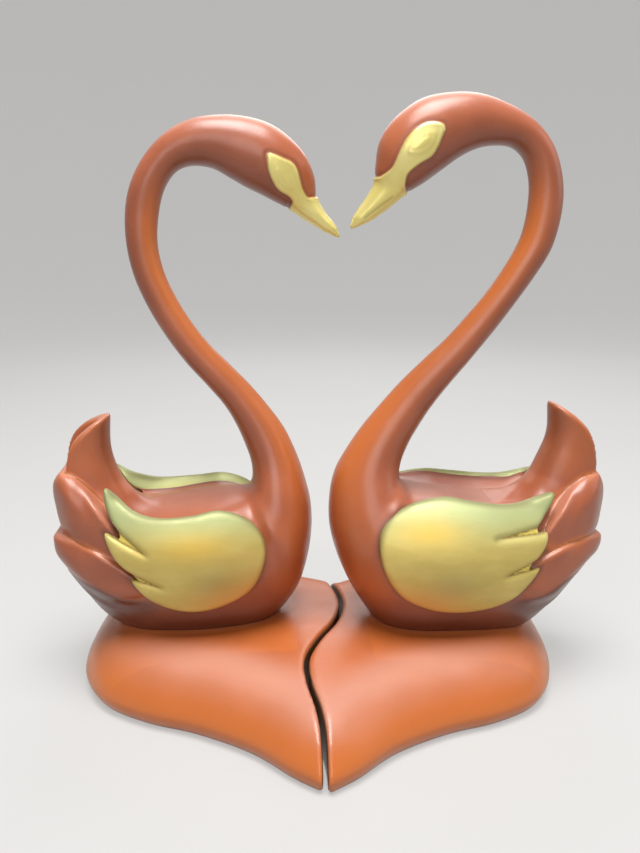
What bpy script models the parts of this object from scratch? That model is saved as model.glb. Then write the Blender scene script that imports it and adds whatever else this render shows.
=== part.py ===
"""Two swans that stand beak to beak, each cast in one piece with half of a heart-shaped base.

Lengths are in millimetres and are turned into metres when a point is placed.
A swan is drawn in its own frame: forward towards its beak, height above the top of the base
where it sits, and side, which is positive on the side that faces the front of the heart.
"""
import math

import bmesh
import bpy

MM = 0.001

# Heart-shaped base, one half of it; the other half is its mirror image
BASE_THICKNESS = 27.0
HEART_HALF_WIDTH = 110.0
HEART_TIP_Y = -77.0
HEART_BACK_Y = 77.5
HEART_X = -5.6
HEART_TIP_LEAN = 4.0
HEART_NOTCH_LEAN = 9.0
NOTCH_LEAN_REACH = 0.4
TIP_THICKNESS = 19.0
FOOT_INSET = 4.0

# Right half of the heart from the tip round to the notch: share of the half width from the
# middle line, share of the length from tip to back
HEART_CURVE = [
    (0.0, 0.0), (0.13, 0.065), (0.28, 0.162), (0.48, 0.24), (0.68, 0.291), (0.86, 0.369), (0.965, 0.49),
    (1.0, 0.64), (0.975, 0.86), (0.845, 0.965), (0.53, 1.0), (0.3, 0.98), (0.12, 0.926), (0.0, 0.88),
]

# Rounded edge of the base: share of the outline's size, share of the height
BASE_SHOULDER = [
    (1.0, 0.34), (0.989, 0.53), (0.957, 0.71), (0.9, 0.86), (0.8, 0.96), (0.6, 1.0), (0.0, 1.0),
]

# The outlines, sections and split points below are drawn for a heart with a half width of 110;
# this factor brings them, and the reach of the tail that must follow them, to the size of the heart
DRAWING_SCALE = HEART_HALF_WIDTH / 110

# Split between the two halves of the base, from the notch at the back to the tip
SPLIT_GAP = 1.6
SPLIT_POINTS = [
    (-3, 66), (4, 42), (5.5, 27), (2, 11), (-5, -4), (-10, -20), (-9, -35), (-5, -50), (-3, -62), (-2, -82),
]
SPLIT_STEPS = 3
SPLIT_MARGIN = 30.0

# Places of the swans, each over its lobe of the heart
LEFT_SEAT_X = HEART_X - 0.518 * HEART_HALF_WIDTH
RIGHT_SEAT_X = HEART_X + 0.6 * HEART_HALF_WIDTH
SEAT_Y = 21.5
SWAN_TURN = 5.0

# Wings: how far their rims and middles stand out from the swan's middle plane
WING_TOP_SIDE = 22.5
WING_FRONT_SIDE = 31.0
WING_BOTTOM_SIDE = 31.0
WING_REAR_SIDE = 28.5
WING_MIDDLE_SIDE = 36.5
WING_THICKNESS = 5.0

# Rings of a wing from its middle outwards, then round the rim and back inside the body:
# share of the outline's size, depth as a share of the wing's thickness
WING_RINGS = [
    (0.0, 0.0), (0.4, 0.0), (0.7, 0.0), (0.9, 0.0), (0.98, 0.0),
    (1.0, 0.32), (1.0, 0.9), (0.88, 2.6), (0.0, 4.0),
]

# Body: sections wider than the first value start to get a flatter back, and from the second
# value on it is as flat as the saddle between the wings
ROUND_HALF_WIDTH = 24.0
FLAT_HALF_WIDTH = 29.0
SADDLE_FLATNESS = 0.55

# Tail: half widths of the three layers of feathers, which narrow towards the rear as an ellipse does
TOP_FEATHER_HALF_WIDTH = 16.0
MIDDLE_FEATHER_HALF_WIDTH = 27.5
LOWER_FEATHER_HALF_WIDTH = 30.5
TAIL_WIDEST_FORWARD = -10.0 * DRAWING_SCALE
TAIL_REACH = 58.0 * DRAWING_SCALE
FEATHER_RIM = 2.0
FEATHER_ROUNDNESS = 3.4
FEATHER_LEVELS = [0.0, 0.5, 0.8, 0.95, 1.0]

# Hollow in the back of the top feather, measured from that feather's tip:
# distance back, distance down, depth, half width
SCOOP_PATH = [
    (13, -9, 6, 4), (15, 5, 9, 6), (19, 14, 11.5, 8), (22, 25, 12, 8), (21, 34, 8, 6), (20, 40, 2, 2),
]
SCOOP_SIDES = 16
SCOOP_STEPS = 2

# Fineness of the body and of the outlines
BODY_SIDES = 18
BODY_STEPS = 2
OUTLINE_STEPS = 2

# Cross sections from the tail to the beak: forward and height of the breast or throat side,
# forward and height of the back or crown side, half width
LEFT_SECTIONS = [
    (-54, 23, -51, 44, 10), (-47, 10, -44, 57, 18.5), (-38, 0, -34, 61, 23), (-25, -6, -22, 56, 27),
    (-10, -8, -9, 55.5, 28.5), (6, -8, 4, 57, 29), (23, -6, 15, 59, 28), (36, -1, 21.5, 60, 26.5),
    (46.5, 11.5, 24.5, 61, 25), (51.5, 25, 26, 63, 25), (54, 40, 26.8, 65.5, 22), (53.8, 53, 27, 68.5, 19),
    (51.6, 63.5, 26.8, 71.5, 16), (48, 75, 26.3, 75, 13), (42, 88.5, 24.2, 81.5, 10.5),
    (33.5, 100.6, 20.4, 90.8, 8.6), (26, 109.7, 15.2, 100, 7.6), (17, 119.2, 7.5, 109.5, 7),
    (8.5, 128.2, -1, 119.4, 6.6), (1, 138.7, -9.7, 132, 6.4), (-5, 149.5, -16.5, 144.5, 6.4),
    (-9, 160, -21.3, 157, 6.5), (-10.6, 171, -23.6, 170.4, 6.8), (-9.5, 182, -23.2, 184, 7),
    (-7, 191, -20, 195.5, 7.4), (-3, 197.3, -13.5, 206.2, 7.8), (1.5, 200.3, -5, 214.3, 8.4),
    (7.5, 201.1, 5, 219.3, 9.4), (14, 199.9, 16, 221, 10.6), (20.5, 196.4, 27, 220.6, 11.8),
    (27, 192.8, 37.5, 217.8, 12.4), (33.5, 189.7, 46, 212.2, 12), (39, 187, 52.3, 205.2, 10.4),
    (43.5, 184.8, 55.8, 197, 8), (46.6, 183.2, 56.8, 189, 6), (52, 179.7, 60, 182.7, 4.6),
    (58, 176.2, 63.6, 178.4, 3.2), (64.8, 172.4, 67.2, 173.3, 1.6),
]
RIGHT_SECTIONS = [
    (-54, 25, -54, 45, 11), (-46.5, 13, -46, 57, 19.5), (-37.5, 2, -36, 60, 24.5), (-26, -6, -23, 57.5, 28),
    (-10, -8, -9, 57, 30), (7, -8, 5, 59, 30), (25, -6.5, 17, 61.5, 30), (39, -0.5, 24.5, 62.5, 28.5),
    (49.5, 14, 27, 64, 27), (56.5, 29, 28.8, 66, 27), (60.6, 43.5, 29.7, 68.5, 24),
    (61.1, 57, 29.9, 71, 20.5), (59, 69.5, 29.3, 74.5, 16.5), (53.8, 80, 28, 78.5, 13.5),
    (46.5, 91, 25.4, 84.5, 11.5),
    (38.5, 100.8, 22.3, 90, 10), (29.5, 111, 16.5, 99.2, 8.9), (19.5, 120.8, 9, 109, 8),
    (9.5, 130.3, -0.2, 120, 7.2), (0, 141, -10.6, 133, 6.8), (-8, 151, -18.7, 144, 6.6),
    (-15.2, 162, -27, 156, 6.8), (-20.4, 172.5, -33.8, 168, 7), (-22.6, 183.5, -37, 182.5, 7.2),
    (-22.7, 194.5, -36.5, 195.5, 7.4), (-19.8, 203.6, -32, 208.5, 7.6), (-14, 208.4, -23.5, 218.5, 8),
    (-6, 209, -12, 225, 8.8), (1, 207.6, 1, 229, 10), (8, 204.2, 14, 229, 11.6), (15, 199.3, 25, 226.3, 13),
    (21.5, 194.7, 35, 219, 13), (26.3, 191.8, 40.8, 210.5, 11), (29, 190.4, 42.4, 201, 8.4),
    (31, 189, 42.8, 194, 6.2), (36, 185, 45.6, 188.5, 4.8), (42.3, 180.5, 49.5, 183, 3.3),
    (50.3, 175.8, 53.4, 177.2, 1.7),
]

# Wing outlines in forward and height; True marks a sharp corner at a feather tip or a slit
LEFT_WING = [
    (-36.5, 70, True), (-26, 61.2, False), (-15.7, 58.1, False), (0, 58.5, False), (13.4, 60, False),
    (26, 55, False), (32.3, 45, False), (31.4, 33.5, False), (25.1, 22.4, False), (12.8, 15.8, False),
    (1, 13.9, False), (-9.7, 16.3, False), (-19, 21.5, False), (-25, 29.5, True), (-12.6, 25.4, True),
    (-25.6, 32, True), (-32.5, 39.5, False), (-36.8, 50, True), (-17.8, 39.6, True), (-31.5, 51.7, True),
    (-35.6, 60, False),
]
RIGHT_WING = [
    (-36, 65.5, True), (-24.2, 61.9, False), (-12.7, 61.3, False), (1.5, 63.1, False), (14, 64.8, False),
    (28.5, 62.2, False), (39.5, 55.5, False), (42.8, 46.5, False), (40.5, 34, False), (33, 22.5, False),
    (21.5, 16.2, False), (8.9, 14, False), (-6.5, 15.6, False), (-18.5, 20.5, False), (-28.5, 31.5, True),
    (-13.4, 29.5, True), (-25.8, 34.8, True), (-29.6, 41, False), (-31.5, 48, True), (-8.9, 46.4, True),
    (-28, 50.2, True), (-33.2, 57.5, False),
]

# Tail feather outlines in forward and height, in the same way
LEFT_TOP_FEATHER = [
    (-34.7, 97.7, True), (-44, 92, False), (-51, 84.5, False), (-54.1, 73, False), (-51.5, 59, False),
    (-42.5, 45, False), (-30, 41, False), (-20, 49, False), (-27, 60, False), (-32.2, 70, False),
    (-35.4, 82, False),
]
RIGHT_TOP_FEATHER = [
    (-37.6, 101.8, True), (-48.3, 94.8, False), (-56.3, 85.5, False), (-59.5, 73, False), (-55, 57, False),
    (-45, 45, False), (-30, 41, False), (-20, 51, False), (-28.5, 63, False), (-34.5, 75.5, False),
    (-38.3, 87, False),
]
LEFT_MIDDLE_FEATHER = [
    (-56.5, 73.2, True), (-60, 67.5, False), (-59.6, 58, False), (-56.6, 46, False), (-48, 36, False),
    (-35, 33, False), (-26, 38, False), (-31, 50, False), (-40, 61, False), (-49, 70.5, False),
]
RIGHT_MIDDLE_FEATHER = [
    (-59.8, 70, True), (-64.1, 62, False), (-63.4, 51, False), (-60.4, 42, False), (-50, 33, False),
    (-36, 30, False), (-25, 37, False), (-33, 51, False), (-43, 62, False), (-51, 68, False),
]
LEFT_LOWER_FEATHER = [
    (-61, 45.5, True), (-60.2, 36.5, False), (-56, 28.5, False), (-47.5, 21, False), (-36.5, 16, False),
    (-22.5, 16, False), (-14.5, 23, False), (-23.5, 31, False), (-35.5, 39, False), (-48.5, 44.5, False),
]
RIGHT_LOWER_FEATHER = [
    (-63.5, 41, True), (-62.9, 33, False), (-57.5, 28.5, False), (-46.5, 20.5, False), (-36.5, 14, False),
    (-21.5, 14, False), (-12.5, 23, False), (-23.5, 34, False), (-37.5, 40.5, False), (-50.5, 43.5, False),
]

COPPER = (0.42, 0.15, 0.07, 1.0)


def scaled(rows):
    """Drawn rows of numbers at the size of the heart."""
    return [tuple(value * DRAWING_SCALE for value in row) for row in rows]


def scaled_outline(marked_points):
    """A drawn outline at the size of the heart, with its marks."""
    return [(f * DRAWING_SCALE, h * DRAWING_SCALE, sharp) for f, h, sharp in marked_points]


def spline(points, steps):
    """Points on a smooth curve through the given ones, with a number of steps for each span."""
    last = len(points) - 1
    result = []
    for index in range(last):
        before, start, end, after = [points[min(max(index + offset, 0), last)] for offset in (-1, 0, 1, 2)]
        for step in range(steps):
            t = step / steps
            result.append(tuple(
                b + 0.5 * t * (c - a + t * (2 * a - 5 * b + 4 * c - d + t * (3 * (b - c) + d - a)))
                for a, b, c, d in zip(before, start, end, after)
            ))
    result.append(tuple(points[-1]))
    return result


def outline(marked_points, steps):
    """A closed outline, smooth between the points that are marked as sharp."""
    corners = [index for index, point in enumerate(marked_points) if point[2]]
    result = []
    for place, first in enumerate(corners):
        last = corners[(place + 1) % len(corners)]
        length = (last - first) % len(marked_points) or len(marked_points)
        run = [marked_points[(first + offset) % len(marked_points)][:2] for offset in range(length + 1)]
        result += spline(run, steps)[:-1]
    return result


def finish_mesh(name, shape):
    """Turns the faces outwards and puts the mesh in the scene as an object."""
    bmesh.ops.recalc_face_normals(shape, faces=shape.faces)
    mesh = bpy.data.meshes.new(name)
    shape.to_mesh(mesh)
    shape.free()
    piece = bpy.data.objects.new(name, mesh)
    bpy.context.scene.collection.objects.link(piece)
    return piece


def close_ends(rings):
    """Adds the middle of the first and of the last ring as end points."""
    for end in (0, -1):
        count = len(rings[end])
        middle = tuple(sum(point[axis] for point in rings[end]) / count for axis in range(3))
        rings.insert(0 if end == 0 else len(rings), [middle])


def skin(name, rings):
    """A closed body over rings of equal length, with a single point at each end."""
    shape = bmesh.new()
    loops = []
    for ring in rings:
        loops.append([shape.verts.new([value * MM for value in point]) for point in ring])
    for lower, upper in zip(loops, loops[1:]):
        if len(lower) == 1 or len(upper) == 1:
            pole = lower if len(lower) == 1 else upper
            rim = upper if len(lower) == 1 else lower
            for index in range(len(rim)):
                shape.faces.new((pole[0], rim[index], rim[(index + 1) % len(rim)]))
            continue
        for index in range(len(lower)):
            after = (index + 1) % len(lower)
            shape.faces.new((lower[index], lower[after], upper[after], upper[index]))
    return finish_mesh(name, shape)


def combine(target, other, operation):
    """Joins or cuts one piece with another, which is then kept out of the finished model."""
    modifier = target.modifiers.new(other.name, "BOOLEAN")
    modifier.operation = operation
    modifier.solver = "EXACT"
    modifier.object = other
    other.hide_render = True
    other.display_type = "WIRE"


class Swan:
    """One swan: where it sits, which way it faces and its own outlines."""

    def __init__(self, name, seat_x, facing, sections, wing, feathers):
        self.name = name
        self.seat_x = seat_x
        self.facing = facing
        self.sections = scaled(sections)
        self.wing = scaled_outline(wing)
        self.feathers = {layer: scaled_outline(points) for layer, points in feathers.items()}

    def place(self, forward, side, height):
        """The place on the base of a point in the swan's own frame."""
        turn = math.radians(SWAN_TURN)
        along_x = self.facing * math.cos(turn)
        along_y = self.facing * math.sin(turn)
        x = self.seat_x + forward * along_x + side * math.sin(turn)
        y = SEAT_Y + forward * along_y - side * math.cos(turn)
        return (x, y, BASE_THICKNESS + height)


def body(swan):
    """Body, neck, head and beak as one skin over sections that fan round the root of the neck."""
    rings = []
    for low_f, low_h, high_f, high_h, half_width in spline(swan.sections, BODY_STEPS):
        wideness = (half_width - ROUND_HALF_WIDTH) / (FLAT_HALF_WIDTH - ROUND_HALF_WIDTH)
        back_power = 1 - SADDLE_FLATNESS * min(max(wideness, 0), 1)
        ring = []
        for index in range(BODY_SIDES):
            angle = 2 * math.pi * index / BODY_SIDES
            sine = math.sin(angle)
            cosine = math.cos(angle)
            power = back_power if cosine < 0 else 1
            across = math.copysign(half_width * abs(sine) ** power, sine)
            share = (1 - math.copysign(abs(cosine) ** power, cosine)) / 2
            forward = low_f + (high_f - low_f) * share
            height = low_h + (high_h - low_h) * share
            ring.append(swan.place(forward, across, height))
        rings.append(ring)
    close_ends(rings)
    return skin(swan.name + "_body", rings)


def centre(points):
    """The middle of an outline's box."""
    forwards = [point[0] for point in points]
    heights = [point[1] for point in points]
    return (min(forwards) + max(forwards)) / 2, (min(heights) + max(heights)) / 2


def tail_half_width(widest, forward):
    """Half width of the tail seen from above at a distance along the swan."""
    back = max(TAIL_WIDEST_FORWARD - forward, 0) / TAIL_REACH
    return widest * math.sqrt(1 - back ** 2)


def feather(swan, name, marked_points, half_width):
    """A rounded feather that wraps the tail on both sides of the middle plane."""
    edge = outline(marked_points, OUTLINE_STEPS)
    middle_f, middle_h = centre(edge)
    rings = []
    for facing in (1, -1):
        for level in FEATHER_LEVELS[::facing]:
            fullness = (1 - level ** FEATHER_ROUNDNESS) ** (1 / FEATHER_ROUNDNESS)
            ring = []
            for edge_f, edge_h in edge:
                forward = middle_f + (edge_f - middle_f) * level
                height = middle_h + (edge_h - middle_h) * level
                side = FEATHER_RIM + (tail_half_width(half_width, forward) - FEATHER_RIM) * fullness
                ring.append(swan.place(forward, facing * side, height))
            rings.append(ring[:1] if level == 0 else ring)
    return skin(swan.name + "_" + name, rings)


def wing_rim_side(forward, height, middle_f, middle_h):
    """How far the rim stands from the middle plane, by the direction it lies in."""
    angle = math.atan2(height - middle_h, forward - middle_f)
    weights = (
        (max(math.sin(angle), 0) ** 2, WING_TOP_SIDE),
        (max(-math.sin(angle), 0) ** 2, WING_BOTTOM_SIDE),
        (max(math.cos(angle), 0) ** 2, WING_FRONT_SIDE),
        (max(-math.cos(angle), 0) ** 2, WING_REAR_SIDE),
    )
    return sum(weight * value for weight, value in weights)


def wing(swan, name, facing):
    """A folded wing as a curved shell with three feather tips, sunk into the body's side."""
    edge = outline(swan.wing, OUTLINE_STEPS)
    middle_f, middle_h = centre(edge)
    rings = []
    for level, depth in WING_RINGS:
        ring = []
        for forward, height in edge:
            rim = wing_rim_side(forward, height, middle_f, middle_h)
            side = rim + (WING_MIDDLE_SIDE - rim) * (1 - level ** 2) - depth * WING_THICKNESS
            ring.append(swan.place(middle_f + (forward - middle_f) * level, facing * side,
                                   middle_h + (height - middle_h) * level))
        rings.append(ring[:1] if level == 0 else ring)
    return skin(swan.name + "_" + name, rings)


def scoop(swan):
    """The hollow in the back of the top tail feather."""
    tip_f, tip_h = swan.feathers["top"][0][:2]
    rings = []
    for back, down, depth, half in spline(scaled(SCOOP_PATH), SCOOP_STEPS):
        rings.append([
            swan.place(tip_f - back + depth * math.cos(angle), half * math.sin(angle), tip_h - down)
            for angle in [2 * math.pi * index / SCOOP_SIDES for index in range(SCOOP_SIDES)]
        ])
    close_ends(rings)
    return skin(swan.name + "_scoop", rings)


def heart_outline():
    """The heart seen from above: two mirrored halves, with the tip and the notch off its middle line."""
    length = HEART_BACK_Y - HEART_TIP_Y
    right = [(across, HEART_TIP_Y + length * along) for across, along in spline(HEART_CURVE, OUTLINE_STEPS)]
    both = right + [(-across, y) for across, y in right[-2:0:-1]]
    edge = []
    for across, y in both:
        if y < 0:
            lean = HEART_TIP_LEAN * y / HEART_TIP_Y
        else:
            lean = HEART_NOTCH_LEAN * max(1 - abs(across) / NOTCH_LEAN_REACH, 0)
        edge.append((HEART_X + across * HEART_HALF_WIDTH + lean, y))
    return edge


def heart(name):
    """The whole pillow-shaped heart, lower towards its tip."""
    edge = heart_outline()
    foot = 1 - FOOT_INSET / HEART_HALF_WIDTH
    levels = [(0.0, 0.0), (foot, 0.0), ((1 + foot) / 2, BASE_SHOULDER[0][1] / 4)] + BASE_SHOULDER
    rings = []
    for scale, share in levels:
        ring = []
        for x, y in edge:
            spot_y = y * scale
            slope = min(max(spot_y / HEART_TIP_Y, 0), 1) ** 2
            top = BASE_THICKNESS - (BASE_THICKNESS - TIP_THICKNESS) * slope
            ring.append((HEART_X + (x - HEART_X) * scale, spot_y, top * share))
        rings.append(ring[:1] if scale == 0 else ring)
    return skin(name, rings)


def split_side(name, facing):
    """A block that fills one side of the S-shaped split, half of the gap away from it."""
    wall = [(x + facing * SPLIT_GAP / 2, y) for x, y in spline(scaled(SPLIT_POINTS), SPLIT_STEPS)]
    far = facing * (HEART_HALF_WIDTH + abs(HEART_X) + SPLIT_MARGIN)
    back = HEART_BACK_Y + SPLIT_MARGIN
    front = HEART_TIP_Y - SPLIT_MARGIN
    corners = [(wall[0][0], back)] + wall + [(wall[-1][0], front), (far, front), (far, back)]
    shape = bmesh.new()
    face = shape.faces.new([shape.verts.new((x * MM, y * MM, -SPLIT_MARGIN * MM)) for x, y in corners])
    grown = bmesh.ops.extrude_face_region(shape, geom=[face])
    raised = [item for item in grown["geom"] if isinstance(item, bmesh.types.BMVert)]
    bmesh.ops.translate(shape, verts=raised, vec=(0, 0, (BASE_THICKNESS + 2 * SPLIT_MARGIN) * MM))
    return finish_mesh(name, shape)


def paint(piece):
    """Satin copper-brown paint."""
    material = bpy.data.materials.new(piece.name + "_paint")
    material.use_nodes = True
    shader = material.node_tree.nodes["Principled BSDF"]
    shader.inputs["Base Color"].default_value = COPPER
    shader.inputs["Roughness"].default_value = 0.35
    shader.inputs["Metallic"].default_value = 0.0
    piece.data.materials.append(material)


def build(swan):
    """One casting: half of the base with its swan."""
    casting = heart(swan.name)
    combine(casting, split_side(swan.name + "_split", -swan.facing), "INTERSECT")
    top = feather(swan, "top_feather", swan.feathers["top"], TOP_FEATHER_HALF_WIDTH)
    combine(top, scoop(swan), "DIFFERENCE")
    parts = [
        body(swan),
        top,
        feather(swan, "middle_feather", swan.feathers["middle"], MIDDLE_FEATHER_HALF_WIDTH),
        feather(swan, "lower_feather", swan.feathers["lower"], LOWER_FEATHER_HALF_WIDTH),
        wing(swan, "near_wing", 1),
        wing(swan, "far_wing", -1),
    ]
    for part in parts:
        combine(casting, part, "UNION")
    paint(casting)


def main():
    for item in list(bpy.data.objects):
        bpy.data.objects.remove(item)
    left_feathers = {"top": LEFT_TOP_FEATHER, "middle": LEFT_MIDDLE_FEATHER, "lower": LEFT_LOWER_FEATHER}
    right_feathers = {"top": RIGHT_TOP_FEATHER, "middle": RIGHT_MIDDLE_FEATHER, "lower": RIGHT_LOWER_FEATHER}
    build(Swan("left_swan", LEFT_SEAT_X, 1, LEFT_SECTIONS, LEFT_WING, left_feathers))
    build(Swan("right_swan", RIGHT_SEAT_X, -1, RIGHT_SECTIONS, RIGHT_WING, right_feathers))


main()
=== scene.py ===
"""The swan couple dressed for the photograph: fine forms, paint, floor, lights and camera."""

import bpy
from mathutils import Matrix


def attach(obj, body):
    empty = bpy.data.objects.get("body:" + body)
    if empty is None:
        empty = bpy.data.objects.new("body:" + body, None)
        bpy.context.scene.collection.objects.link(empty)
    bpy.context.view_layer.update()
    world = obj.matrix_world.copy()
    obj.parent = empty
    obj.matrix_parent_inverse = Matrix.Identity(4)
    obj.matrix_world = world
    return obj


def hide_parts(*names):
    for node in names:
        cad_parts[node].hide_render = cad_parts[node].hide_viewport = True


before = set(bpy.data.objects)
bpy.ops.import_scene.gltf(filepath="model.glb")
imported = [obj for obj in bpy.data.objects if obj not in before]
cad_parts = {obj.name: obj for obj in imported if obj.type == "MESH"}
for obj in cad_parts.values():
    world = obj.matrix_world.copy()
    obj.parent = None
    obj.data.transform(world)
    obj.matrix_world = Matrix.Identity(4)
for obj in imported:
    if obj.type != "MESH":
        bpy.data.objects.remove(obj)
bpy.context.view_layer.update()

import math

import bpy
import numpy as np
import openvdb as vdb
from mathutils import Vector

# Lengths below are in millimetres and angles in degrees; Blender's lengths are in metres
MM = 0.001

# Heart-shaped base: its size and place, how far its tip and its notch lean off the middle line,
# and how far its edge is drawn in at the foot
BASE_THICKNESS = 27.0
HEART_HALF_WIDTH = 110.0
HEART_TIP_Y = -77.0
HEART_BACK_Y = 77.5
HEART_X = -5.6
HEART_TIP_LEAN = 4.0
HEART_NOTCH_LEAN = 9.0
NOTCH_LEAN_REACH = 0.4
TIP_THICKNESS = 19.0
FOOT_INSET = 4.0

# Right half of the heart from the tip round to the notch: share of the half width from the
# middle line, share of the length from tip to back
HEART_CURVE = [
    (0.0, 0.0), (0.13, 0.065), (0.28, 0.162), (0.48, 0.24), (0.68, 0.291), (0.86, 0.369), (0.965, 0.49),
    (1.0, 0.64), (0.975, 0.86), (0.845, 0.965), (0.53, 1.0), (0.3, 0.98), (0.12, 0.926), (0.0, 0.88),
]

# Rounding of the base's upper edge all round and beside the notch, of its lower edge and of the
# edges along the split
BASE_ROLL = 30.0
BASE_BACK_ROLL = 11.0
BASE_FOOT_ROLL = 1.5
SPLIT_ROLL = 1.8

# Split between the two halves of the base, from the notch at the back to the tip
SPLIT_GAP = 1.6
SPLIT_POINTS = [
    (-3, 66), (4, 42), (5.5, 27), (2, 11), (-5, -4), (-10, -20), (-9, -35), (-5, -50), (-3, -62), (-2, -82),
]

# Places of the swans, each over its lobe of the heart
LEFT_SEAT_X = HEART_X - 0.518 * HEART_HALF_WIDTH
RIGHT_SEAT_X = HEART_X + 0.6 * HEART_HALF_WIDTH
SEAT_Y = 21.5
SWAN_TURN = 5.0

# Wings: how far their rims and middles stand out from the swan's middle plane
WING_TOP_SIDE = 22.5
WING_FRONT_SIDE = 31.0
WING_BOTTOM_SIDE = 31.0
WING_REAR_SIDE = 28.5
WING_MIDDLE_SIDE = 36.5

# Depth of a wing at its rim, how much deeper its middle and its tip are, depth of the slits
# between its feather tips, and rounding of its rim and of its hidden inner edge
WING_RIM_DEPTH = 3.2
WING_MIDDLE_DEPTH = 10.0
WING_TIP_DEPTH = 2.0
SLIT_DEPTH = 1.5
WING_RIM_ROLL = 3.0
WING_INNER_ROLL = 1.6

# Body: sections wider than the first value start to get a flatter back, and from the second
# value on it is as flat as the saddle between the wings
ROUND_HALF_WIDTH = 24.0
FLAT_HALF_WIDTH = 29.0
SADDLE_FLATNESS = 0.55

# Tail: half widths of the three layers of feathers, which narrow towards the rear as an ellipse does
TOP_FEATHER_HALF_WIDTH = 16.0
MIDDLE_FEATHER_HALF_WIDTH = 27.5
LOWER_FEATHER_HALF_WIDTH = 30.5
TAIL_WIDEST_FORWARD = -10.0
TAIL_REACH = 58.0

# Rounding of a feather's edges, how near its outline it starts to get narrower, and the length
# over which the front edge of the top feather is rounded
FEATHER_ROLL = 2.4
FEATHER_SLOPE = 9.0
TOP_FEATHER_NOSE = 26.0

# Reach of the fillets: between body and top feather, between the other layers, and how much more
# where the body comes out below the tail
TAIL_BLEND = {"left": 8.0, "right": 12.0}
LAYER_BLEND = 0.8
UNDER_TAIL_BLEND = 6.0

# Hollow in the back of the top feather, measured from that feather's tip:
# distance back, distance down, depth, half width
SCOOP_PATH = [
    (13, -9, 6, 4), (15, 5, 9, 6), (19, 14, 11.5, 8), (22, 25, 12, 8), (21, 34, 8, 6), (20, 40, 2, 2),
]
SCOOP_ROLL = 1.6

# Fineness: points in a ring of the body, its rings for each span, those of the head; points for
# each span of an outline, and of an outline that only guides the paint; the same for the hollow
BODY_SKIN = (120, 6, 14)
OUTLINE_STEPS = 8
PAINT_STEPS = 6
SCOOP_SIDES = 32
SCOOP_STEPS = 6

# Cross sections from the tail to the beak: forward and height of the breast or throat side,
# forward and height of the back or crown side, half width
LEFT_SECTIONS = [
    (-54, 23, -51, 44, 10), (-47, 10, -44, 57, 18.5), (-38, 0, -34, 61, 23), (-25, -6, -22, 56, 27),
    (-10, -8, -9, 55.5, 28.5), (6, -8, 4, 57, 29), (23, -6, 15, 59, 28), (36, -1, 21.5, 60, 26.5),
    (46.5, 11.5, 24.5, 61, 25), (51.5, 25, 26, 63, 25), (54, 40, 26.8, 65.5, 22), (53.8, 53, 27, 68.5, 19),
    (51.6, 63.5, 26.8, 71.5, 16), (48, 75, 26.3, 75, 13), (42, 88.5, 24.2, 81.5, 10.5),
    (33.5, 100.6, 20.4, 90.8, 8.6), (26, 109.7, 15.2, 100, 7.6), (17, 119.2, 7.5, 109.5, 7),
    (8.5, 128.2, -1, 119.4, 6.6), (1, 138.7, -9.7, 132, 6.4), (-5, 149.5, -16.5, 144.5, 6.4),
    (-9, 160, -21.3, 157, 6.5), (-10.6, 171, -23.6, 170.4, 6.8), (-9.5, 182, -23.2, 184, 7),
    (-7, 191, -20, 195.5, 7.4), (-3, 197.3, -13.5, 206.2, 7.8), (1.5, 200.3, -5, 214.3, 8.4),
    (7.5, 201.1, 5, 219.3, 9.4), (14, 199.9, 16, 221, 10.6), (20.5, 196.4, 27, 220.6, 11.8),
    (27, 192.8, 37.5, 217.8, 12.4), (33.5, 189.7, 46, 212.2, 12), (39, 187, 52.3, 205.2, 10.4),
    (43.5, 184.8, 55.8, 197, 8), (46.6, 183.2, 56.8, 189, 6), (52, 179.7, 60, 182.7, 4.6),
    (58, 176.2, 63.6, 178.4, 3.2), (64.8, 172.4, 67.2, 173.3, 1.6),
]
RIGHT_SECTIONS = [
    (-54, 25, -54, 45, 11), (-46.5, 13, -46, 57, 19.5), (-37.5, 2, -36, 60, 24.5), (-26, -6, -23, 57.5, 28),
    (-10, -8, -9, 57, 30), (7, -8, 5, 59, 30), (25, -6.5, 17, 61.5, 30), (39, -0.5, 24.5, 62.5, 28.5),
    (49.5, 14, 27, 64, 27), (56.5, 29, 28.8, 66, 27), (60.6, 43.5, 29.7, 68.5, 24),
    (61.1, 57, 29.9, 71, 20.5), (59, 69.5, 29.3, 74.5, 16.5), (53.8, 80, 28, 78.5, 13.5),
    (46.5, 91, 25.4, 84.5, 11.5),
    (38.5, 100.8, 22.3, 90, 10), (29.5, 111, 16.5, 99.2, 8.9), (19.5, 120.8, 9, 109, 8),
    (9.5, 130.3, -0.2, 120, 7.2), (0, 141, -10.6, 133, 6.8), (-8, 151, -18.7, 144, 6.6),
    (-15.2, 162, -27, 156, 6.8), (-20.4, 172.5, -33.8, 168, 7), (-22.6, 183.5, -37, 182.5, 7.2),
    (-22.7, 194.5, -36.5, 195.5, 7.4), (-19.8, 203.6, -32, 208.5, 7.6), (-14, 208.4, -23.5, 218.5, 8),
    (-6, 209, -12, 225, 8.8), (1, 207.6, 1, 229, 10), (8, 204.2, 14, 229, 11.6), (15, 199.3, 25, 226.3, 13),
    (21.5, 194.7, 35, 219, 13), (26.3, 191.8, 40.8, 210.5, 11), (29, 190.4, 42.4, 201, 8.4),
    (31, 189, 42.8, 194, 6.2), (36, 185, 45.6, 188.5, 4.8), (42.3, 180.5, 49.5, 183, 3.3),
    (50.3, 175.8, 53.4, 177.2, 1.7),
]

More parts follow.
